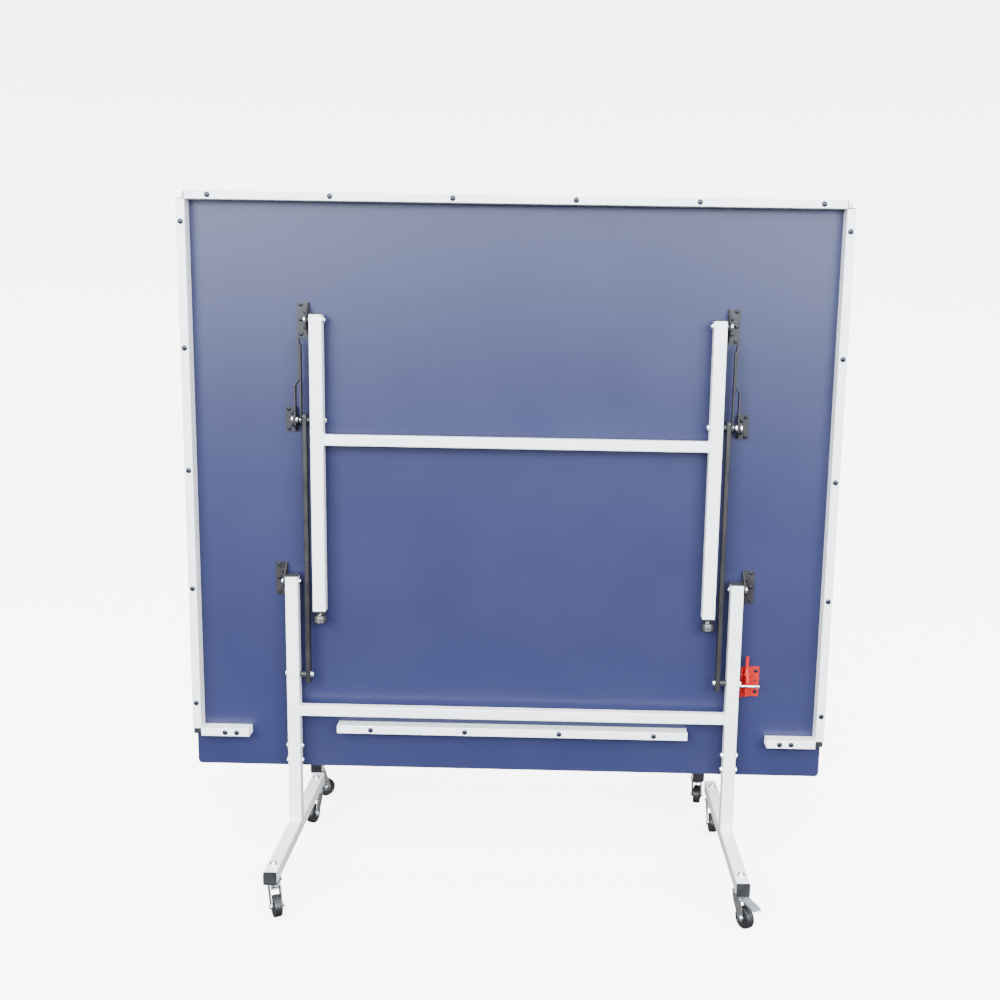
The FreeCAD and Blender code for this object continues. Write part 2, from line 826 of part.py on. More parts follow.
def latch_lever():
    """The release lever: a finger blade above its pivot, and a hook over and behind the pin."""
    body = new_body("LatchLever")
    outline = new_sketch(body, "YZ_Plane")
    polygon(outline, [
        ("6", "-6"),
        ("6", "6"),
        ("2", "18"),
        ("-1", "46"),
        ("-6", "46"),
        ("-5", "16"),
        ("-8", "4"),
        ("-19", "-5"),
        ("-21", "-14"),
        ("-10", "-15"),
        ("-9.5", "-40"),
        ("-6", "-53"),
        ("-1", "-53"),
        ("1", "-30"),
    ])
    pad(body, outline, "7", reverse=False)
    drill(body, "YZ_Plane", [("0", "0")], "2.5 + running")
    return [place(body, "latch_lever", "pivot_gap - 17", "latch_pin_height")]


# ---------------------------------------------------------------- legs

def leg_tubes():
    length = "(leg_tube_drop + post_rise)"
    middle = f"({LEG_PIVOT_Z} + (post_rise - leg_tube_drop)/2)"
    leg = square_tube("Leg", length, "tube", "tube_wall", "tube_corner")
    heights = [LEG_PIVOT_Z, f"{LEG_PIVOT_Z} - link_drop"]
    drill(leg, "YZ_Plane", [("0", f"{height} - {middle}") for height in heights], "bolt + 0.02")
    return pair(place(leg, LEG_X, "0", middle))


def leg_crossbar():
    bar = square_tube("LegBar", "2*leg_half - tube", "crossbar", "tube_wall", "tube_corner")
    return [place(bar, "frame_shift", "0", f"{LEG_PIVOT_Z} - leg_bar_drop", ALONG_X)]


def leg_plugs():
    top = end_plug("LegTopPlug", "tube", "tube", "tube_wall", SMALL_PLUG_CAP)
    place(top, LEG_X, "0", f"{LEG_PIVOT_Z} + post_rise")
    low = end_plug("LegLowPlug", "tube", "tube", "tube_wall", "4")
    drill(low, "XY_Plane", [("0", "0")], "leveller_stem + running")
    place(low, LEG_X, "0", f"{LEG_PIVOT_Z} - leg_tube_drop", FreeCAD.Rotation(X_AXIS, 180))
    return pair(top) + pair(low)


def leg_pivot_bolts():
    outer_face = "(leg_ear + sheet + gap)"
    pin = bolt("LegPivotBolt", f"{outer_face} - (leg_half - tube/2)")
    return pair(place(pin, f"frame_shift + {outer_face}", "0", LEG_PIVOT_Z, ALONG_MINUS_X))


def leg_link_bolts():
    """The bolt that joins the lower brace strip, the link bar and the leg."""
    outer_face = "(inner_strip + strip_thick + gap)"
    grip = f"({outer_face} - (leg_half - tube/2))"
    pin = solid_of_revolution("LegLinkBolt", [
        ("0", "-1.8"),
        ("bolt_head*0.9", "-1.8"),
        ("bolt_head", "-1"),
        ("bolt_head", "0"),
        ("bolt", "0"),
        ("bolt", grip),
        ("bolt_head", grip),
        ("bolt_head", f"{grip} + 3.5"),
        ("bolt_head*0.85", f"{grip} + 5.5"),
        ("bolt_head*0.5", f"{grip} + 7.2"),
        ("0", f"{grip} + 7.8"),
    ])
    height = f"{LEG_PIVOT_Z} - link_drop"
    return pair(place(pin, f"frame_shift + {outer_face}", "0", height, ALONG_MINUS_X))


def leg_link_spacers():
    length = "(link_half - link_thick/2) - (leg_half + tube/2) - gap"
    link = ring("LegLinkSpacer", "spacer", "bolt + 0.02", length)
    height = f"{LEG_PIVOT_Z} - link_drop"
    place(link, f"{LEG_X} + tube/2", "0", height, ALONG_X)
    pivot_length = "leg_ear - (leg_half + tube/2) - gap"
    pivot = ring("LegPivotSpacer", "spacer", "bolt + 0.02", pivot_length)
    place(pivot, f"{LEG_X} + tube/2", "0", LEG_PIVOT_Z, ALONG_X)
    return pair(link) + pair(pivot)


def leveller():
    """A screw-in foot: a rubber cup on a threaded stem. Its origin is under the cup."""
    return solid_of_revolution("Leveller", [
        ("0", "0"),
        ("leveller_radius - 3", "0"),
        ("leveller_radius - 1", "1"),
        ("leveller_radius", "3"),
        ("leveller_radius - 1", "leveller_high - 4"),
        ("leveller_radius - 4", "leveller_high - 1"),
        ("9", "leveller_high"),
        ("leveller_stem", "leveller_high"),
        ("leveller_stem", "leveller_high + 36"),
        ("0", "leveller_high + 36"),
    ])


# ---------------------------------------------------------------- link bars and braces

def link_bars():
    """The dark bars that keep the legs upright as the tabletop turns."""
    body = new_body("LinkBar")
    outline = new_sketch(body, "YZ_Plane")
    reach = "pivot_pitch/2"
    rectangle(outline, "-link_deep/2", f"-{reach} - 22", "link_deep/2", f"{reach} + 16")
    pad(body, outline, "link_thick")
    round_edges(body, X_AXIS, "9")
    round_edges(body, Z_AXIS, "2")
    drill(body, "YZ_Plane", [("0", reach), ("0", f"-{reach}")], "bolt + running")
    place(body, "frame_shift + link_half", "0", f"{PIVOT_Z} - link_drop + {reach}")
    return pair(body)


def knee_rivet(name, length):
    return solid_of_revolution(name, [
        ("0", "0"), ("5", "0"), ("5", "1.2"), ("3", length), ("0", length),
    ])


def upper_strip():
    """The brace strip on the tabletop's bracket, cranked in to lie by the lower strip."""
    body = new_body("UpperStrip")
    section = new_sketch(body, "XZ_Plane")
    low = "outer_strip"
    high = "outer_strip_top"
    thick = "strip_thick"
    tip = "brace_length + strip_tail"
    polygon(section, [
        (low, "-11"),
        (f"{low} + {thick}", "-11"),
        (f"{low} + {thick}", "crank_low"),
        (f"{high} + {thick}", "crank_high"),
        (f"{high} + {thick}", f"{tip} - 3"),
        (f"{high} + 9", tip),
        (f"{high} + 8", f"{tip} + 3"),
        (high, f"{tip} + 1"),
        (high, "crank_high"),
        (low, "crank_low"),
    ])
    pad(body, section, "strip_deep")
    drill(body, "YZ_Plane", [("0", "0")], "bolt + running")
    drill(body, "YZ_Plane", [("0", "brace_length - 12")], "2.5")
    place(body, "frame_shift", "0", f"{LEG_PIVOT_Z} - link_drop")
    rivet = knee_rivet("UpperKneeRivet", "2.2")
    place(rivet, "frame_shift + outer_strip_top + strip_thick", "0",
          f"{LEG_PIVOT_Z} - link_drop + brace_length", ALONG_X)
    return [body, rivet]


def lower_strip():
    """The straight brace strip on the leg's bolt."""
    body = new_body("LowerStrip")
    outline = new_sketch(body, "YZ_Plane")
    half = "strip_deep/2"
    outline.setExpression(".AttachmentOffset.Base.z", bound("inner_strip"))
    rectangle(outline, f"-{half}", "-11", half, "brace_length + 10")
    pad(body, outline, "strip_thick", reverse=False)
    round_edges(body, X_AXIS, "6")
    drill(body, "YZ_Plane", [("0", "0")], "bolt + running")
    place(body, "frame_shift", "0", f"{LEG_PIVOT_Z} - link_drop")
    return [body]


# ---------------------------------------------------------------- nodes

def half_placement(name):
    """The front half stands at -Y; the rear half is the same, turned half a turn."""
    turn, side = (UPRIGHT, -1) if name == "front" else (HALF_TURN, 1)
    offset = FreeCAD.Vector(0, side * value("storage_gap") / 2, 0)
    return FreeCAD.Placement(offset, turn)


def node(label, pieces, placement):
    compound = doc.addObject("Part::Compound", "Node")
    compound.Label = label
    compound.Links = pieces
    compound.Placement = placement
    return compound


def base_bolts():
    bolts = foot_bolts() + post_pivot_bolts() + link_base_bolts()
    return bolts + link_base_spacers() + strike_pin()


def shared_groups():
    """Pieces that stand on one body, by the end of their node's name."""
    return {
        "base_frame": base_posts() + base_crossbar(),
        "foot_tubes": foot_tubes() + foot_stubs(),
        "tube_caps": foot_plugs() + post_caps(),
        "base_bolts": base_bolts(),
        "caster_stems": caster_stems(),
        "table_board": table_board(),
        "apron_rails": end_rail() + side_rails() + corner_returns() + centre_rail(),
        "rail_plugs": rail_plugs(),
        "panel_screws": apron_screws() + bracket_screws(),
        "hinge_brackets": post_brackets() + leg_brackets() + brace_brackets() + brace_bracket_bolts(),
        "latch_plate": latch_plate() + latch_pin(),
        "latch_lever": latch_lever(),
        "leg_frame": leg_tubes() + leg_crossbar(),
        "leg_plugs": leg_plugs(),
        "leg_bolts": leg_pivot_bolts() + leg_link_bolts() + leg_link_spacers(),
        "link_bars": link_bars(),
    }


def sided_groups():
    """Pieces that move on each side on their own."""
    foot = leveller()
    upper = upper_strip()
    lower = lower_strip()
    low_end = f"{LEG_PIVOT_Z} - {PIVOT_Z}"
    groups = {
        "leg_foot_right": [place(foot, LEG_X, "0", low_end)],
        "leg_foot_left": [copy_of(foot, "frame_shift - leg_half", "0", low_end)],
        "upper_braces": upper + [other_hand(piece) for piece in upper],
        "lower_braces": lower + [other_hand(piece) for piece in lower],
    }
    return groups


def caster_pieces():
    return {
        "fork": caster_fork(),
        "axle": caster_axle(),
        "wheel": caster_wheel(),
        "pedal": brake_pedal(),
        "hinge_pin": pedal_pin(),
    }


def caster_groups(half, pieces):
    """Each caster's fork, wheel and pedal at its own corner and swivel."""
    groups = {}
    for name, x_side, y_side, swivels, braked in CASTERS:
        across = f"frame_shift + {x_side}*post_half"
        deep = f"{y_side}*caster_half"
        turn = FreeCAD.Rotation(Z_AXIS, swivels[half])
        trail = turn.multVec(FreeCAD.Vector(0, -1, 0))
        at_axle = (
            f"{across} + {trail.x}*caster_trail",
            f"{deep} + {trail.y}*caster_trail",
            "wheel_radius",
        )
        sideways = turn.multiply(ALONG_X)
        groups[f"fork_{name}"] = [
            copy_of(pieces["fork"], across, deep, "crown_top", turn),
            copy_of(pieces["axle"], *at_axle, sideways),
        ]
        groups[f"wheel_{name}"] = [copy_of(pieces["wheel"], *at_axle, sideways)]
        if braked:
            at_hinge = (
                f"{across} + {trail.x}*pedal_hinge",
                f"{deep} + {trail.y}*pedal_hinge",
                "crown_top - 14",
            )
            groups[f"fork_{name}"].append(copy_of(pieces["hinge_pin"], *at_hinge, sideways))
            groups[f"brake_{name}"] = [copy_of(pieces["pedal"], *at_hinge, turn)]
    return groups


def check_objects():
    for item in doc.Objects:
        if "Invalid" in item.State or "Error" in item.State:
            raise RuntimeError(item.Label + " did not compute")


def main():
    groups = shared_groups()
    groups.update(sided_groups())
    casters = caster_pieces()
    nodes = []
    for half in ("front", "rear"):
        everything = {**groups, **caster_groups(half, casters)}
        for name, pieces in everything.items():
            nodes.append(node(f"{half}_{name}", pieces, half_placement(half)))
    doc.recompute()
    check_objects()
    os.makedirs("parts", exist_ok=True)
    for item in nodes:
        if item.Shape.isNull() or not item.Shape.isValid():
            raise RuntimeError(item.Label + " has no valid shape")
        item.Shape.exportStep(f"parts/{item.Label}.step")
    print(len(nodes), "nodes written")


main()
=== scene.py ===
import math

import bmesh
import bpy
from mathutils import Matrix, Vector


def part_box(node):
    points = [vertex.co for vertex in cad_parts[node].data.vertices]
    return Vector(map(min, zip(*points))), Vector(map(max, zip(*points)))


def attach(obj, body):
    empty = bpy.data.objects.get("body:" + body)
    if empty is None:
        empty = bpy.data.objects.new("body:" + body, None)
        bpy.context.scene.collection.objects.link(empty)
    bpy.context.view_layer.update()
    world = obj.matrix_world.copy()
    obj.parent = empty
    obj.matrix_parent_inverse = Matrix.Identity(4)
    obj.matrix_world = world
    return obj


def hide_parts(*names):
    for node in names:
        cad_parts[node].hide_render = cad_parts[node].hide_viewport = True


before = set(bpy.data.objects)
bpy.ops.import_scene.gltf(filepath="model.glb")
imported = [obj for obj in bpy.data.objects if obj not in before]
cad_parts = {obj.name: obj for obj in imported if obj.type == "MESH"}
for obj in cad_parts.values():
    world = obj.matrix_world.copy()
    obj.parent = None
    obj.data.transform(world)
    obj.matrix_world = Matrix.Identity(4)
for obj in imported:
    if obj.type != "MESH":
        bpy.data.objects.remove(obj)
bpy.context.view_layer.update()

MM = 0.001


def measured(node):
    """The lowest and highest corner of a CAD node at rest, in millimetres."""
    return [[round(value / MM, 1) for value in corner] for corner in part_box(node)]


# Pieces are built in the coordinates of one half, in millimetres, as in the CAD part:
# X across the table, Y 0 in the plane of the posts and towards the other half, Z 0 on the floor.
# The front half's own coordinates differ from the frame's only in Y, by half the storage gap.
BOARD_LOW, BOARD_HIGH = measured("front_table_board")
BASE_LOW, BASE_HIGH = measured("front_base_frame")
LEGS_LOW, LEGS_HIGH = measured("front_leg_frame")
LEVELLER_BOTTOM = measured("front_leg_foot_left")[0][2]

STORAGE_GAP = -(BASE_LOW[1] + BASE_HIGH[1])
SHIFT = (BASE_LOW[0] + BASE_HIGH[0]) / 2
TUBE = BASE_HIGH[1] - BASE_LOW[1]
POST_X = (BASE_HIGH[0] - BASE_LOW[0] - TUBE) / 2
LEG_X = (LEGS_HIGH[0] - LEGS_LOW[0] - TUBE) / 2
POST_RISE = 13
PIVOT_Z = BASE_HIGH[2] - POST_RISE
LEG_PIVOT_Z = LEGS_HIGH[2] - POST_RISE
LINK_DROP = 229
LINK_Z = PIVOT_Z - LINK_DROP
BRACE_Z = LEG_PIVOT_Z - LINK_DROP
NET_Z = BOARD_LOW[2]
FOOT_TOP = BASE_LOW[2]
FOOT_BOTTOM = FOOT_TOP - TUBE
CROSSBAR = 25
BASE_BAR_Z = 394
LEG_BAR_DROP = 274
STUB = 25.4

# sheet brackets, link bars and brace strips, by their distance from the frames' middle
SHEET = 3
GAP = 0.3
POST_EAR = 542.5
LEG_EAR = 481.5
BRACE_EAR = 513
INNER_STRIP = 496
OUTER_STRIP = 509.5
LINK_INSIDE = 484.5
LINK_OUTSIDE = 494.5

# screws: where their heads sit, their shank lengths and head radii
RAIL_FACE = 20
RAIL_SEAT = -3.0
RAIL_SHANK = 47
RAIL_HEAD = 6.5
SHEET_SEAT = 30.0
SHEET_SHANK = 11
SHEET_HEAD = 5.0

# bolts and the pin under the storage latch
FOOT_BOLTS = (266, 302)
SPACER = 7
STRIKE_Z = 476
STRIKE_END = 602

# casters
CASTER_Y = 247
CROWN_TOP = 80
TRAIL = 20
WHEEL_RADIUS = 25
FORK_HALF = 13
# name, X side, Y side, swivel on the front and on the rear half, whether it has a brake
CASTERS = [
    ("outer_left", -1, -1, {"front": 27, "rear": 12}, False),
    ("outer_right", 1, -1, {"front": 28, "rear": -28}, True),
    ("inner_left", -1, 1, {"front": -16, "rear": -14}, True),
    ("inner_right", 1, 1, {"front": 3, "rear": -55}, False),
]
HALVES = ("front", "rear")


# ---------------------------------------------------------------- placing

def half_matrix(half):
    """From the half's coordinates in millimetres to the row frame in metres."""
    side = -1 if half == "front" else 1
    turn = Matrix.Identity(4) if half == "front" else Matrix.Rotation(math.pi, 4, "Z")
    return Matrix.Translation((0, side * STORAGE_GAP / 2 * MM, 0)) @ turn @ Matrix.Scale(MM, 4)


def at(x, y, z, axis=(0, 0, 1), spin=0.0):
    """A placement whose own Z points along axis."""
    turn = Vector(axis).to_track_quat("Z", "Y").to_matrix().to_4x4()
    return Matrix.Translation((x, y, z)) @ turn @ Matrix.Rotation(spin, 4, "Z")


def each_side(x):
    """(place x, inward direction) right and left of the frames' middle."""
    return ((SHIFT + x, (-1, 0, 0)), (SHIFT - x, (1, 0, 0)))


def piece(name, half, body, build, material):
    """One piece of one half: build(bm) adds its geometry in the half's coordinates."""
    sharp_from = math.radians(35)
    bm = bmesh.new()
    build(bm)
    bmesh.ops.recalc_face_normals(bm, faces=bm.faces)
    bm.transform(half_matrix(half))
    mesh = bpy.data.meshes.new(f"{half}_{name}")
    bm.to_mesh(mesh)
    bm.free()
    mesh.polygons.foreach_set("use_smooth", [True] * len(mesh.polygons))
    mesh.set_sharp_from_angle(angle=sharp_from)
    mesh.materials.append(material)
    obj = bpy.data.objects.new(f"{half}_{name}", mesh)
    bpy.context.scene.collection.objects.link(obj)
    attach(obj, f"{half}_{body}")
    return obj


# ---------------------------------------------------------------- shapes

def around(count):
    """Evenly spaced angles, once round."""
    return [2 * math.pi * i / count for i in range(count)]


def loft(bm, rings, capped=True):
    """Joins rings of points into a skin."""
    loops = [[bm.verts.new(point) for point in ring] for ring in rings]
    count = len(loops[0])
    for low, high in zip(loops, loops[1:]):
        for i in range(count):
            j = (i + 1) % count
            bm.faces.new((low[i], low[j], high[j], high[i]))
    if capped:
        bm.faces.new(list(reversed(loops[0])))
        bm.faces.new(loops[-1])


def lathe(bm, profile, place=Matrix.Identity(4), segments=40):
    """Turns (radius, height) points about Z."""
    smallest = 0.01
    rings = []
    for radius, height in profile:
        r = max(radius, smallest)
        rings.append([
            place @ Vector((r * math.cos(angle), r * math.sin(angle), height))
            for angle in around(segments)
        ])
    loft(bm, rings)


def dome(radius, high, base, steps):
    """(radius, height) points of a dome from its rim up to its top."""
    points = []
    for k in range(steps + 1):
        angle = math.pi / 2 * k / steps
        points.append((radius * math.cos(angle), base + high * math.sin(angle)))
    return points


def hexagon(bm, profile, place=Matrix.Identity(4)):
    """A six-sided prism from (half width across flats, corner radius, height) points."""
    sixth = math.pi / 3
    rings = []
    for flat, corner, height in profile:
        ring = []
        for angle in around(36):
            from_flat = (angle + sixth / 2) % sixth - sixth / 2
            radius = min(flat / math.cos(from_flat), corner)
            ring.append(place @ Vector((radius * math.cos(angle), radius * math.sin(angle), height)))
        rings.append(ring)
    loft(bm, rings)


def box(bm, size, place):
    bmesh.ops.create_cube(bm, size=1, matrix=place @ Matrix.Diagonal((*size, 1)))


def square(size):
    """The corners of a weld's path round a square tube, just outside it."""
    s = size / 2 + 0.2
    return [(-s, -s, 0), (s, -s, 0), (s, s, 0), (-s, s, 0)]


def bead(bm, corners, radius, place):
    """A weld bead: overlapping lumps along a closed path."""
    steps_per_lump = 4
    step = 3.2 / steps_per_lump
    dip = 0.14
    up = Vector((0, 0, 1))
    points = []
    for start, end in zip(corners, corners[1:] + corners[:1]):
        start = Vector(start)
        end = Vector(end)
        steps = max(2, int((end - start).length / step))
        points += [start.lerp(end, i / steps) for i in range(steps)]
    rings = []
    count = len(points)
    for i, point in enumerate(points):
        ahead = (points[(i + 1) % count] - points[i - 1]).normalized()
        side = ahead.cross(up).normalized()
        lump = radius * (1 - dip + dip * abs(math.sin(math.pi * i / steps_per_lump)))
        rings.append([
            place @ (point + side * math.cos(angle) * lump + up * math.sin(angle) * lump)
            for angle in around(8)
        ])
    loft(bm, rings + [rings[0]], capped=False)


def phillips_screw(bm, place, length, head):
    """A dome-head screw with a cross recess; its head stands below the origin."""
    slot_half_width = 0.62
    slot_reach = 2.5
    slot_depth = 1.3
    shoulder = [(1, 0.0), (1, -0.4), (0.96, -0.9), (0.87, -1.7), (0.73, -2.4), (0.57, -2.85)]
    crown = [(2.6, -3.05), (2.3, -3.12), (1.7, -3.18), (1.1, -3.2), (0.5, -3.2), (0.01, -3.2)]
    rings = []
    for radius, height in [(head * share, height) for share, height in shoulder] + crown:
        ring = []
        for angle in around(48):
            x = radius * math.cos(angle)
            y = radius * math.sin(angle)
            in_slot = min(abs(x), abs(y)) < slot_half_width and max(abs(x), abs(y)) < slot_reach
            ring.append(place @ Vector((x, y, height + (slot_depth if in_slot else 0))))
        rings.append(ring)
    loft(bm, rings)
    lathe(bm, [(2, 0), (2, length)], place, 12)


def hex_bolt(bm, place, grip, flat=6.4):
    """A hex-head bolt: its head and washer below the origin, its dome nut past the grip."""
    head = 5.0
    corner = flat * 1.13
    washer = flat + 0.9
    washer_thick = 1.1
    lathe(bm, [(washer, -washer_thick), (washer, 0)], place, 40)
    hexagon(bm, [
        (flat * 0.98, flat * 0.9, -head),
        (flat, corner, -head + 0.7),
        (flat, corner, -washer_thick),
    ], place)
    lathe(bm, [(flat * 0.62, -head - 0.05), (flat * 0.55, -head + 0.3), (0, -head + 0.3)], place, 32)
    shank_and_nut(bm, place, grip, flat)


def flat_bolt(bm, place, grip, flat=6.4):
    """A bolt whose low round head fits where a hexagon would meet the brace."""
    head = 1.8
    lathe(bm, [(flat * 0.8, -head), (flat, -head + 0.8), (flat, 0)], place, 40)
    shank_and_nut(bm, place, grip, flat)


def shank_and_nut(bm, place, grip, flat):
    """An M8 shank with a washer and a dome nut at its far end."""
    corner = flat * 1.13
    washer = flat + 0.9
    seat = grip + 0.9
    lathe(bm, [(3.95, 0), (3.95, grip)], place, 24)
    lathe(bm, [(washer, grip), (washer, seat)], place, 40)
    hexagon(bm, [
        (flat, corner, seat),
        (flat, corner, seat + 2.7),
        (flat * 0.97, flat * 0.97, seat + 3.2),
    ], place)
    lathe(bm, dome(5.6, 3.8, seat + 3.0, 8), place, 40)


def threaded_rod(bm, place, radius, start, end, pitch):
    """A rod whose outline rises and falls once a pitch, as a thread's does."""
    thread_depth = 0.45
    profile = []
    height = start
    while height < end:
        profile += [(radius - thread_depth, height), (radius, height + pitch / 2)]
        height += pitch
    lathe(bm, profile + [(radius - thread_depth, end)], place, 28)


# ---------------------------------------------------------------- materials

def shader(name):
    """A new material, its node tree and its main shader."""
    material = bpy.data.materials.new(name)
    material.use_nodes = True
    tree = material.node_tree
    return material, tree, tree.nodes["Principled BSDF"]


def add(tree, kind, **settings):
    """A new node; a setting that starts with in_ is the value of an input."""
    made = tree.nodes.new(kind)
    for key, setting in settings.items():
        if key.startswith("in_"):
            made.inputs[key[3:].replace("_", " ")].default_value = setting
        else:
            setattr(made, key, setting)
    return made


def noise(tree, coords, scale, detail, stretch=(1, 1, 1)):
    """Noise fixed to the object, drawn out along an axis where stretch is small."""
    mapping = add(tree, "ShaderNodeMapping")
    mapping.inputs["Scale"].default_value = stretch
    made = add(tree, "ShaderNodeTexNoise", in_Scale=scale, in_Detail=detail)
    tree.links.new(coords.outputs["Object"], mapping.inputs["Vector"])
    tree.links.new(mapping.outputs["Vector"], made.inputs["Vector"])
    return made.outputs["Fac"]


def ranged(tree, source, low, high, start=0.35, end=0.65):
    """Spreads the source's values between start and end over low to high."""
    made = add(tree, "ShaderNodeMapRange", in_From_Min=start, in_From_Max=end,
               in_To_Min=low, in_To_Max=high)
    tree.links.new(source, made.inputs["Value"])
    return made.outputs["Result"]


def mixed(tree, factor, first, second):
    """Mixes two colours; each is a constant or a socket."""
    made = add(tree, "ShaderNodeMix", data_type="RGBA")
    tree.links.new(factor, made.inputs[0])
    for index, colour in ((6, first), (7, second)):
        if isinstance(colour, tuple):
            made.inputs[index].default_value = (*colour, 1)
        else:
            tree.links.new(colour, made.inputs[index])
    return made.outputs[2]


def bumped(tree, bsdf, height, strength):
    """Fine relief, up to 0.4 mm deep."""
    made = add(tree, "ShaderNodeBump", in_Strength=strength, in_Distance=0.4 * MM)
    tree.links.new(height, made.inputs["Height"])
    tree.links.new(made.outputs["Normal"], bsdf.inputs["Normal"])


def maths(tree, operation, first, second=None):
    """One sum on sockets or numbers."""
    made = add(tree, "ShaderNodeMath", operation=operation)
    for index, source in enumerate((first, second)):
        if source is None:
            continue
        if isinstance(source, (int, float)):
            made.inputs[index].default_value = source
        else:
            tree.links.new(source, made.inputs[index])
    return made.outputs[0]


def finish(name, colour, worn, rough, metallic=0.0, patch=14, bump=0.12, coat=0.0,
           streak=(1, 1, 1), specular=0.5, wear=0.4):
    """A finish with soft patches, fine grain, darker scuffs and slightly uneven gloss."""
    grain = 900
    scuff_shade = 0.82
    long_streak = (streak[0], streak[1], streak[2] * 0.25)
    material, tree, bsdf = shader(name)
    coords = add(tree, "ShaderNodeTexCoord")
    patches = noise(tree, coords, patch, 6.0, streak)
    fine = noise(tree, coords, grain, 3.0, streak)
    scuffs = noise(tree, coords, patch * 9, 8.0, long_streak)
    base = mixed(tree, ranged(tree, patches, 0.0, 1.0), colour, worn)
    shade = tuple(channel * scuff_shade for channel in colour)
    base = mixed(tree, ranged(tree, scuffs, 0.0, wear, 0.62, 0.8), base, shade)
    tree.links.new(base, bsdf.inputs["Base Color"])
    tree.links.new(ranged(tree, patches, rough - 0.05, rough + 0.07), bsdf.inputs["Roughness"])
    bsdf.inputs["Metallic"].default_value = metallic
    bsdf.inputs["Specular IOR Level"].default_value = specular
    bsdf.inputs["Coat Weight"].default_value = coat
    bumped(tree, bsdf, fine, bump)
    return material


def board_lines(tree, coords):
    """1 where the board is painted white: the playing face's lines, and its two top corners."""
    line = 20
    centre_line = 3
    skin = 0.8
    axes = add(tree, "ShaderNodeSeparateXYZ")
    tree.links.new(coords.outputs["Object"], axes.inputs[0])
    across = maths(tree, "ABSOLUTE", axes.outputs["X"])
    deep = maths(tree, "ABSOLUTE", axes.outputs["Y"])
    playing = maths(tree, "LESS_THAN", deep, (skin - BOARD_HIGH[1]) * MM)
    side_line = maths(tree, "GREATER_THAN", across, (BOARD_HIGH[0] - line) * MM)
    end_line = maths(tree, "GREATER_THAN", axes.outputs["Z"], (BOARD_HIGH[2] - line) * MM)
    middle_line = maths(tree, "LESS_THAN", across, centre_line / 2 * MM)
    lines = maths(tree, "MAXIMUM", maths(tree, "MAXIMUM", side_line, end_line), middle_line)
    corners = maths(tree, "MULTIPLY", side_line, end_line)
    return maths(tree, "MAXIMUM", maths(tree, "MULTIPLY", playing, lines), corners)


def board_finish():
    """Blue coated board with white lines and a soft roller texture."""
    blue = (0.0180, 0.0200, 0.0620)
    clouded = (0.0195, 0.0220, 0.0670)
    line_white = (0.82, 0.83, 0.84)
    material, tree, bsdf = shader("blue_board")
    coords = add(tree, "ShaderNodeTexCoord")
    painted = board_lines(tree, coords)
    clouds = noise(tree, coords, 5, 6.0)
    fine = noise(tree, coords, 700, 3.0)
    base = mixed(tree, ranged(tree, clouds, 0.0, 1.0, 0.3, 0.7), blue, clouded)
    base = mixed(tree, painted, base, line_white)
    tree.links.new(base, bsdf.inputs["Base Color"])
    tree.links.new(ranged(tree, clouds, 0.325, 0.355), bsdf.inputs["Roughness"])
    bsdf.inputs["Specular IOR Level"].default_value = 0.3
    bumped(tree, bsdf, fine, 0.10)
    return material


# Each finish: its name, colour, worn colour and roughness, then how metallic it is.
WHITE = finish("white_paint", (0.86, 0.86, 0.86), (0.84, 0.84, 0.845), 0.30,
               patch=9, bump=0.10, coat=0.2, wear=0.12)
BOARD = board_finish()
BLACK = finish("black_plastic", (0.012, 0.012, 0.014), (0.022, 0.022, 0.024), 0.42,
               patch=40, bump=0.22)
GREY = finish("grey_plastic", (0.19, 0.20, 0.21), (0.15, 0.16, 0.17), 0.45,
              patch=40, bump=0.2)
ZINC = finish("zinc_bolt", (0.93, 0.94, 0.95), (0.80, 0.80, 0.81), 0.24, 1.0,
              patch=60, bump=0.1)
SCREW = finish("dark_screw", (0.012, 0.014, 0.030), (0.020, 0.022, 0.040), 0.2, 0.3,
               patch=90, bump=0.08)
BRACKET = finish("bracket_paint", (0.014, 0.012, 0.013), (0.024, 0.020, 0.020), 0.4,
                 patch=30, bump=0.22, specular=0.35)
BAR = finish("dark_paint", (0.010, 0.009, 0.010), (0.018, 0.016, 0.017), 0.4,
             patch=25, bump=0.2, specular=0.35)
RED = finish("red_paint", (0.40, 0.0060, 0.0045), (0.34, 0.005, 0.004), 0.45,
             patch=30, bump=0.16, specular=0.25)
RUBBER = finish("foot_rubber", (0.010, 0.010, 0.011), (0.018, 0.017, 0.018), 0.3,
                patch=50, bump=0.2, coat=0.3)
FORK = finish("zinc_fork", (0.86, 0.86, 0.87), (0.70, 0.71, 0.72), 0.3, 1.0,
              patch=35, bump=0.14, streak=(1, 1, 4))
TYRE = finish("tyre", (0.009, 0.009, 0.010), (0.016, 0.015, 0.015), 0.42,
              patch=45, bump=0.35)
HUB = finish("hub_plastic", (0.06, 0.06, 0.063), (0.09, 0.09, 0.093), 0.32,
             patch=45, bump=0.2)

NODE_FINISH = {
    "table_board": BOARD,
    "apron_rails": WHITE,
    "base_frame": WHITE,
    "foot_tubes": WHITE,
    "leg_frame": WHITE,
    "rail_plugs": BLACK,
    "tube_caps": BLACK,
    "leg_plugs": BLACK,
    "hinge_brackets": BRACKET,
    "link_bars": BAR,
    "upper_braces": BAR,
    "lower_braces": BAR,
    "latch_plate": RED,
    "latch_lever": RED,
    "caster_stems": ZINC,
    "leg_foot_left": RUBBER,
    "leg_foot_right": RUBBER,
    "base_bolts": ZINC,
    "leg_bolts": ZINC,
    "panel_screws": SCREW,
}
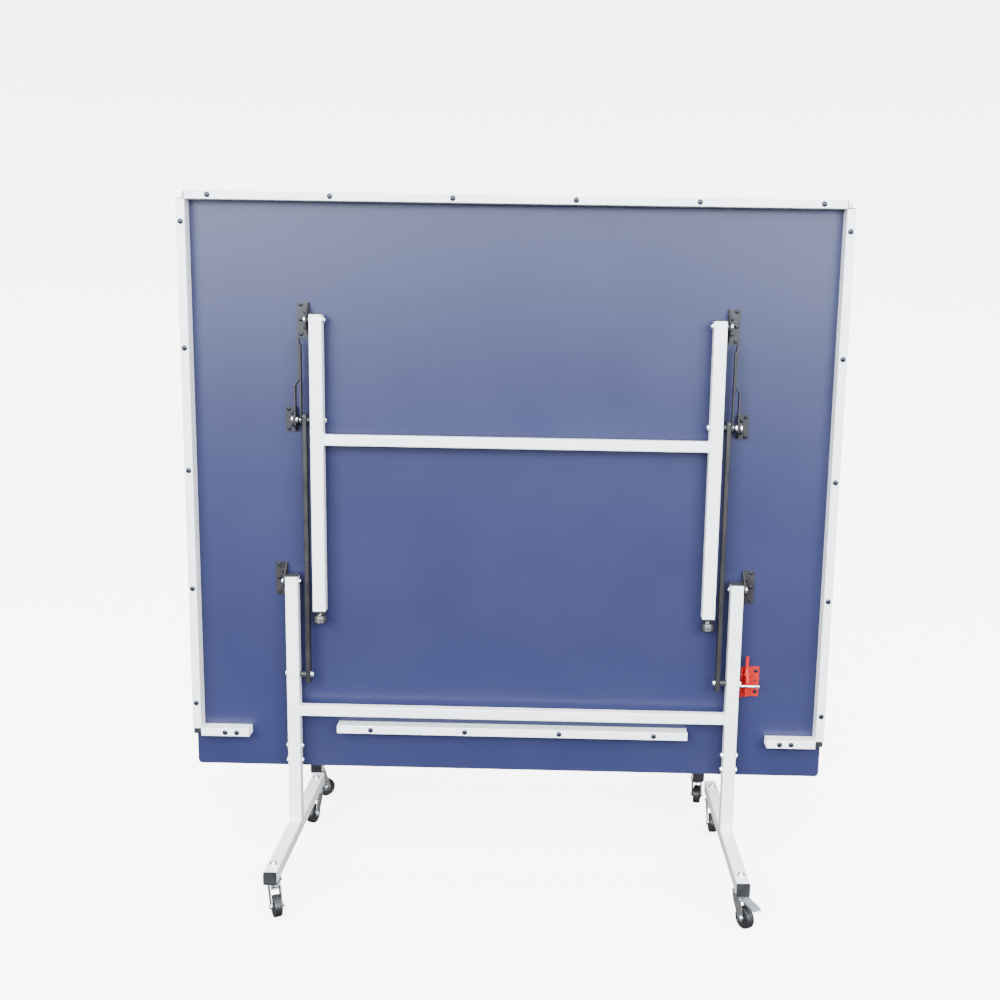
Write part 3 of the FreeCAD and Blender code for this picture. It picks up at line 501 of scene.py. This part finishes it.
# The casters' nodes have the caster's name after these.
CASTER_FINISH = {
    "fork_": FORK,
    "wheel_": TYRE,
    "brake_": GREY,
}
BEVELLED = {
    "table_board": 1.2,
    "tube_caps": 0.6,
    "rail_plugs": 0.5,
    "hinge_brackets": 0.5,
    "latch_plate": 0.4,
    "latch_lever": 0.6,
    "upper_braces": 0.4,
    "lower_braces": 0.4,
    "apron_rails": 0.25,
    "base_frame": 0.25,
    "leg_frame": 0.25,
    "foot_tubes": 0.25,
}


def node_finish(kind):
    """The finish of a kind of CAD node."""
    for start, material in CASTER_FINISH.items():
        if kind.startswith(start):
            return material
    return NODE_FINISH[kind]


def soften_edges(obj, width):
    """Narrow rounded edges, which catch the light as real ones do."""
    bevel = obj.modifiers.new("edges", "BEVEL")
    bevel.width = width * MM
    bevel.segments = 2
    bevel.limit_method = "ANGLE"
    bevel.angle_limit = math.radians(50)
    bevel.harden_normals = False


def dress_nodes():
    """Gives every CAD node its finish, and rounds the edges of those that stay in sight."""
    for name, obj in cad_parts.items():
        kind = name.split("_", 1)[1]
        obj.data.materials.clear()
        obj.data.materials.append(node_finish(kind))
        if kind in BEVELLED:
            soften_edges(obj, BEVELLED[kind])


# ---------------------------------------------------------------- screws

def rail_screws():
    """(x, z) of the screws that hold the apron rails under the tabletop."""
    side_x = BOARD_HIGH[0] - RAIL_FACE / 2
    end_z = BOARD_HIGH[2] - RAIL_FACE / 2
    return_x = BOARD_HIGH[0] - 78
    return_z = NET_Z + 93
    centre_z = NET_Z + 107
    places = [((i - 2.5) * 276.3, end_z) for i in range(6)]
    for side in (1, -1):
        places += [(side * side_x, NET_Z + 166.2 + i * 283.6) for i in range(5)]
        places += [(side * (return_x + dx), return_z) for dx in (-28, 0)]
    places += [(SHIFT + (i - 1.5) * 228, centre_z) for i in range(4)]
    return places


def sheet_screws():
    """(x, z) of the screws through the flanges of the brackets and the latch plate."""
    hinge = [(20, 35), (9, 18), (20, 1), (9, -17), (20, -33)]
    brace = [(20, 23), (11, 14), (11, -14), (20, -23)]
    latch_x = 597
    latch_heights = (454, 506)
    places = []
    brackets = ((POST_EAR, PIVOT_Z, hinge), (LEG_EAR, LEG_PIVOT_Z, hinge), (BRACE_EAR, BRACE_Z, brace))
    for ear, height, pattern in brackets:
        for out, up in pattern:
            places += [(SHIFT + side * (ear + out), height + up) for side in (1, -1)]
    return places + [(latch_x, height) for height in latch_heights]


def screws(half):
    """Every screw of one half, each turned a little further than the last."""
    turn = 0.71
    places = [(x, RAIL_SEAT, z, RAIL_SHANK, RAIL_HEAD) for x, z in rail_screws()]
    places += [(x, SHEET_SEAT, z, SHEET_SHANK, SHEET_HEAD) for x, z in sheet_screws()]

    def build(bm):
        for index, (x, y, z, length, head) in enumerate(places):
            phillips_screw(bm, at(x, y, z, (0, 1, 0), index * turn), length, head)
    obj = piece("screws", half, "top", build, SCREW)
    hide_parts(f"{half}_panel_screws")


# ---------------------------------------------------------------- bolts and welds

def base_bolts(half):
    """The foot, link and pivot bolts of the base, and the pin under the storage latch."""
    outside = POST_X + TUBE / 2
    inside = POST_X - TUBE / 2
    head_seat = POST_EAR + SHEET + GAP
    pin_length = STRIKE_END - SHIFT - outside

    def build(bm):
        for x, inward in each_side(outside):
            for index, z in enumerate(FOOT_BOLTS):
                hex_bolt(bm, at(x, 0, z, inward, 0.4 + index), TUBE)
            hex_bolt(bm, at(x, 0, LINK_Z, inward, 0.2), outside - LINK_INSIDE + GAP)
        for x, inward in each_side(head_seat):
            hex_bolt(bm, at(x, 0, PIVOT_Z, inward, 0.9), head_seat - inside)
        lathe(bm, [(3.5, 0), (3.5, pin_length - 1), (2.9, pin_length)],
              at(SHIFT + outside, 0, STRIKE_Z, (1, 0, 0)), 32)
    obj = piece("base_fasteners", half, "base", build, ZINC)
    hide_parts(f"{half}_base_bolts")


def base_spacers(half):
    """Waisted spacers between the posts and the link bars."""
    inside = POST_X - TUBE / 2
    length = inside - LINK_OUTSIDE - GAP
    waist = SPACER - 0.4
    profile = [
        (SPACER - 0.6, 0), (SPACER, 0.6), (SPACER, 6), (waist, 6.6), (waist, 8),
        (SPACER, 8.6), (SPACER, length - 0.6), (SPACER - 0.6, length),
    ]

    def build(bm):
        for x, inward in each_side(inside):
            lathe(bm, profile, at(x, 0, LINK_Z, inward), 36)
    piece("base_spacers", half, "base", build, BLACK)


def leg_bolts(half):
    """The leg frame's pivot bolts, and the bolts of its link bars and braces."""
    inside = LEG_X - TUBE / 2
    pivot_seat = LEG_EAR + SHEET + GAP
    brace_seat = INNER_STRIP + SHEET + GAP

    def build(bm):
        for x, inward in each_side(pivot_seat):
            hex_bolt(bm, at(x, 0, LEG_PIVOT_Z, inward, 0.5), pivot_seat - inside)
        for x, inward in each_side(brace_seat):
            flat_bolt(bm, at(x, 0, BRACE_Z, inward, 0.1), brace_seat - inside)
    obj = piece("leg_fasteners", half, "legs", build, ZINC)
    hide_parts(f"{half}_leg_bolts")


def leg_spacers(half):
    """Plain spacers outside the legs, at the link bars and at the pivots."""
    outside = LEG_X + TUBE / 2

    def build(bm):
        for x, inward in each_side(outside):
            outward = (-inward[0], 0, 0)
            for end, z in ((LINK_INSIDE, BRACE_Z), (LEG_EAR, LEG_PIVOT_Z)):
                length = end - GAP - outside
                profile = [(SPACER - 0.5, 0), (SPACER, 0.5), (SPACER, length - 0.5), (SPACER - 0.5, length)]
                lathe(bm, profile, at(x, 0, z, outward), 36)
    piece("leg_spacers", half, "legs", build, BLACK)


def bracket_bolts(half):
    """Hex heads and dome nuts over the brace brackets' bolts."""
    head_seat = BRACE_EAR + SHEET + 0.05

    def build(bm):
        for x, inward in each_side(head_seat):
            hex_bolt(bm, at(x, 0, BRACE_Z, inward, 0.3), head_seat - OUTER_STRIP + GAP, flat=6.65)
    piece("bracket_bolts", half, "top", build, ZINC)


def base_welds(half):
    """Beads round the crossbar's ends, and round the stubs on the foot tubes."""
    def build(bm):
        for x, inward in each_side(POST_X - TUBE / 2):
            bead(bm, square(CROSSBAR), 1.7, at(x, 0, BASE_BAR_Z, inward))
        for side in (1, -1):
            bead(bm, square(STUB), 1.8, at(SHIFT + side * POST_X, 0, FOOT_TOP))
    piece("base_welds", half, "base", build, WHITE)


def leg_welds(half):
    """Beads round the ends of the leg frame's crossbar."""
    def build(bm):
        for x, inward in each_side(LEG_X - TUBE / 2):
            bead(bm, square(CROSSBAR), 1.7, at(x, 0, LEG_PIVOT_Z - LEG_BAR_DROP, inward))
    piece("leg_welds", half, "legs", build, WHITE)


# ---------------------------------------------------------------- casters

def stems(half):
    """Threaded caster stems with a washer and a dome nut on the foot tube."""
    nut_seat = FOOT_TOP + 1.3
    profile = [
        (0, CROWN_TOP - 6), (5.4, CROWN_TOP - 6), (6, CROWN_TOP - 5.4), (6, CROWN_TOP - 2.4),
        (5, CROWN_TOP - 2.3), (5, CROWN_TOP + GAP),
        (10.4, CROWN_TOP + GAP), (11, CROWN_TOP + 1), (11, FOOT_BOTTOM - 0.6), (10.4, FOOT_BOTTOM),
        (5, FOOT_BOTTOM), (5, FOOT_TOP), (9.2, FOOT_TOP), (9.2, nut_seat),
    ]

    def build(bm):
        for _, x_side, y_side, _, _ in CASTERS:
            x = SHIFT + x_side * POST_X
            y = y_side * CASTER_Y
            lathe(bm, profile, at(x, y, 0), 40)
            hexagon(bm, [(6.9, 7.8, nut_seat), (6.9, 7.8, nut_seat + 3.9), (6.6, 6.6, nut_seat + 4.7)],
                    at(x, y, 0, spin=x))
            lathe(bm, dome(5.6, 3.7, nut_seat + 4.5, 6), at(x, y, 0), 36)
    obj = piece("stems", half, "base", build, ZINC)
    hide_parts(f"{half}_caster_stems")


def caster_frame(x_side, y_side, swivel):
    """(swivel centre on the floor, wheel centre, axle direction)."""
    angle = math.radians(swivel)
    centre = Vector((SHIFT + x_side * POST_X, y_side * CASTER_Y, 0))
    trailing = Vector((math.sin(angle), -math.cos(angle), 0))
    middle = centre + trailing * TRAIL + Vector((0, 0, WHEEL_RADIUS))
    return centre, middle, Vector((math.cos(angle), math.sin(angle), 0))


def tyre(bm, place):
    """A crowned tread with a groove on each side of its raised middle."""
    # (below the wheel's radius, off its middle)
    outline = [
        (0, 2.2), (0.5, 2.5), (0.5, 3.1), (0.05, 3.4), (0.2, 5), (0.5, 7.8),
        (1.4, 8.7), (3.5, 9), (4.8, 8.6),
    ]
    one_side = [(WHEEL_RADIUS - inset, off) for inset, off in outline]
    other_side = [(radius, -off) for radius, off in reversed(one_side)]
    lathe(bm, other_side + one_side, place, 96)


def hub(bm, place):
    """A dished hub with six spokes on each face."""
    rim = [(20.4, 0), (20.4, 8.2), (19.4, 8.5), (18.3, 8.2), (17.8, 5.6), (17.8, 4), (3.4, 4)]
    boss = [(7.4, 3), (7.2, 9.2), (6.6, 10), (3.3, 10), (3.3, 9.4)]
    spoke_size = (11, 2.2, 3.4)
    spoke_middle = (12.6, 0, 5.4)
    for turn in (math.pi, 0):
        face = place @ Matrix.Rotation(turn, 4, "X")
        lathe(bm, rim, face, 72)
        lathe(bm, boss, face, 40)
        for angle in around(6):
            box(bm, spoke_size, face @ Matrix.Rotation(angle, 4, "Z") @ Matrix.Translation(spoke_middle))


def axle_ends(bm, place):
    """The axle's nut, thread end and domed head, outside the fork."""
    nut_top = FORK_HALF + 4
    head_top = FORK_HALF + 3
    hexagon(bm, [(5.2, 5.9, FORK_HALF), (5.2, 5.9, nut_top - 0.6), (4.9, 4.9, nut_top)], place)
    lathe(bm, [(0, -head_top), (4.6, -head_top), (5.6, 0.8 - head_top), (5.6, -FORK_HALF)], place, 32)
    threaded_rod(bm, place, 2.9, nut_top - 0.4, nut_top + 1.6, 0.8)


def swivel_race(bm, place, braked):
    """The rings above and below the fork's crown; place is at the crown's top."""
    above = [(10.6, 0.2), (13.4, 0.4), (14.2, 1.2), (14.2, 2.4), (13.4, 3.2), (11.4, 3.4)]
    cup = [(9, -12), (11.6, -11.4), (14.4, -9), (16.2, -5), (16.4, -2.4)]
    stepped = [
        (7, -22.5), (9.6, -21.6), (10.6, -19.4), (10.2, -18.4), (10.2, -17), (13.4, -16), (14.3, -14),
        (14.3, -11.6), (13.2, -10.4), (13.2, -9), (14.8, -8), (15.4, -6), (15.4, -2.4),
    ]
    lathe(bm, above, place, 48)
    lathe(bm, cup if braked else stepped, place, 48)


def casters(half):
    """Each caster's tyre and hub, and the metal on its fork."""
    for name, x_side, y_side, swivels, braked in CASTERS:
        centre, middle, axle = caster_frame(x_side, y_side, swivels[half])
        wheel_place = at(*middle, axle)
        crown_place = at(centre.x, centre.y, CROWN_TOP)

        def build_tyre(bm):
            tyre(bm, wheel_place)

        def build_hub(bm):
            hub(bm, wheel_place)

        def build_axle(bm):
            axle_ends(bm, wheel_place)
            swivel_race(bm, crown_place, braked)
        obj = piece(f"tyre_{name}", half, f"wheel_body_{name}", build_tyre, TYRE)
        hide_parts(f"{half}_wheel_{name}")
        piece(f"hub_{name}", half, f"wheel_body_{name}", build_hub, HUB)
        piece(f"axle_{name}", half, f"swivel_{name}", build_axle, ZINC)


# ---------------------------------------------------------------- levelling feet

def leveller_cup(bm, place):
    """A ribbed rubber cup, from the ground up."""
    lathe(bm, [
        (0, 0), (14, 0), (15.6, 0.8), (16.8, 3), (16.4, 4.2), (17, 5.4), (16.3, 6.8), (16.8, 8.2),
        (16, 9.8), (16.4, 11.4), (15.4, 14), (13.8, 18), (11.2, 19.6), (9, 20), (4.8, 20),
    ], place, 56)


def leveller_stem(bm, place):
    """The threaded stem up into the leg's plug, with a thin hexagon over the cup."""
    threaded_rod(bm, place, 4.9, 19, 56, 1.25)
    spin = Matrix.Rotation(0.3, 4, "Z")
    hexagon(bm, [(8, 9, 19.5), (8, 9, 20.5), (7.7, 7.7, 20.8)], place @ spin)


def levellers(half):
    """The two feet of the leg frame."""
    for side, x in (("right", SHIFT + LEG_X), ("left", SHIFT - LEG_X)):
        place = at(x, 0, LEVELLER_BOTTOM)

        def build_cup(bm):
            leveller_cup(bm, place)

        def build_stem(bm):
            leveller_stem(bm, place)
        obj = piece(f"foot_cup_{side}", half, f"foot_{side}_leg", build_cup, RUBBER)
        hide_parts(f"{half}_leg_foot_{side}")
        piece(f"foot_stem_{side}", half, f"foot_{side}_leg", build_stem, ZINC)


def build_half(half):
    screws(half)
    base_bolts(half)
    base_spacers(half)
    leg_bolts(half)
    leg_spacers(half)
    bracket_bolts(half)
    base_welds(half)
    leg_welds(half)
    stems(half)
    casters(half)
    levellers(half)


# ---------------------------------------------------------------- stage

def floor_finish():
    """Pale paper that glows a little, so that it stays even in every view."""
    material, tree, bsdf = shader("floor_paper")
    coords = add(tree, "ShaderNodeTexCoord")
    tone = noise(tree, coords, 1.3, 3.0)
    base = mixed(tree, ranged(tree, tone, 0.0, 1.0), (0.93, 0.93, 0.93), (0.91, 0.91, 0.915))
    tree.links.new(base, bsdf.inputs["Base Color"])
    bsdf.inputs["Roughness"].default_value = 0.7
    bsdf.inputs["Specular IOR Level"].default_value = 0.2
    bsdf.inputs["Emission Color"].default_value = (1, 1, 1, 1)
    bsdf.inputs["Emission Strength"].default_value = 4.5
    return material


def floor():
    """A pale floor that curves up all round into a closed backdrop."""
    flat = 18
    curve = 6
    steps = 16
    profile = [(0, 0), (2, 0), (6, 0), (12, 0), (flat, 0)]
    for k in range(1, steps + 1):
        angle = math.pi / 2 * k / steps
        profile.append((flat + curve * math.sin(angle), curve - curve * math.cos(angle)))
    profile += [(flat + curve, 14), (16, 22), (0, 24)]
    bm = bmesh.new()
    lathe(bm, profile, segments=96)
    bmesh.ops.reverse_faces(bm, faces=bm.faces)
    mesh = bpy.data.meshes.new("floor")
    bm.to_mesh(mesh)
    bm.free()
    mesh.polygons.foreach_set("use_smooth", [True] * len(mesh.polygons))
    mesh.materials.append(floor_finish())
    obj = bpy.data.objects.new("floor", mesh)
    obj.visible_glossy = False
    obj.visible_diffuse = False
    obj.visible_shadow = False
    bpy.context.scene.collection.objects.link(obj)


def area_light(name, location, target, size, power, colour):
    """A rectangular light that faces its target."""
    data = bpy.data.lights.new(name, "AREA")
    data.shape = "RECTANGLE"
    data.size, data.size_y = size
    data.energy = power
    data.color = colour
    obj = bpy.data.objects.new(name, data)
    obj.location = location
    direction = Vector(target) - Vector(location)
    obj.rotation_euler = direction.to_track_quat("-Z", "Y").to_euler()
    bpy.context.scene.collection.objects.link(obj)


def lights():
    """White lamps above and in front, and three cool cards that the board's gloss picks up."""
    white = (1, 1, 1)
    cool = (0.84, 0.93, 1)
    area_light("overhead", (0, -0.4, 4.4), (0, 0, 0), (5, 4), 220, white)
    area_light("key", (-2.8, -4.8, 3.9), (0, 0, 0.9), (2.6, 2.0), 210, white)
    area_light("fill", (3.6, -4.4, 3.0), (0, 0, 0.8), (2.4, 2.4), 140, white)
    area_light("middle_card", (0, -6.0, 3.1), (0, 0, 1.6), (1.6, 2.2), 250, cool)
    area_light("left_card", (-2.7, -6.0, 2.7), (0, 0, 1.4), (3.4, 2.8), 560, cool)
    area_light("right_card", (2.8, -6.0, 2.7), (0, 0, 1.4), (3.4, 2.8), 560, cool)


def sky():
    """A pale sky that brightens from the horizon up."""
    world = bpy.data.worlds.new("studio")
    bpy.context.scene.world = world
    world.use_nodes = True
    tree = world.node_tree
    background = tree.nodes["Background"]
    background.inputs["Color"].default_value = (0.96, 0.98, 1, 1)
    direction = add(tree, "ShaderNodeTexCoord")
    axes = add(tree, "ShaderNodeSeparateXYZ")
    tree.links.new(direction.outputs["Generated"], axes.inputs[0])
    brightness = ranged(tree, axes.outputs["Z"], 0.22, 3.2, -0.04, 0.42)
    tree.links.new(brightness, background.inputs["Strength"])


def camera():
    """In front of the table, a little below its top and looking slightly down, as the photo is."""
    eye = Vector((0.0909, -3.0672, 1.3766))
    yaw = 0.0153
    pitch = 0.1731
    roll = -0.0168
    forward = Vector((-math.sin(yaw) * math.cos(pitch), math.cos(yaw) * math.cos(pitch), -math.sin(pitch)))
    level = Vector((math.cos(yaw), math.sin(yaw), 0))
    down = forward.cross(level)
    right = math.cos(roll) * level + math.sin(roll) * down
    up = right.cross(forward)
    data = bpy.data.cameras.new("camera")
    data.sensor_width = 36
    data.lens = 42.95
    data.shift_x = -0.0312
    data.shift_y = 0.0091
    obj = bpy.data.objects.new("camera", data)
    turn = Matrix((right, up, -forward)).transposed().to_4x4()
    obj.matrix_world = Matrix.Translation(eye) @ turn
    bpy.context.scene.collection.objects.link(obj)
    bpy.context.scene.camera = obj


dress_nodes()
for half_name in HALVES:
    build_half(half_name)
floor()
sky()
lights()
camera()
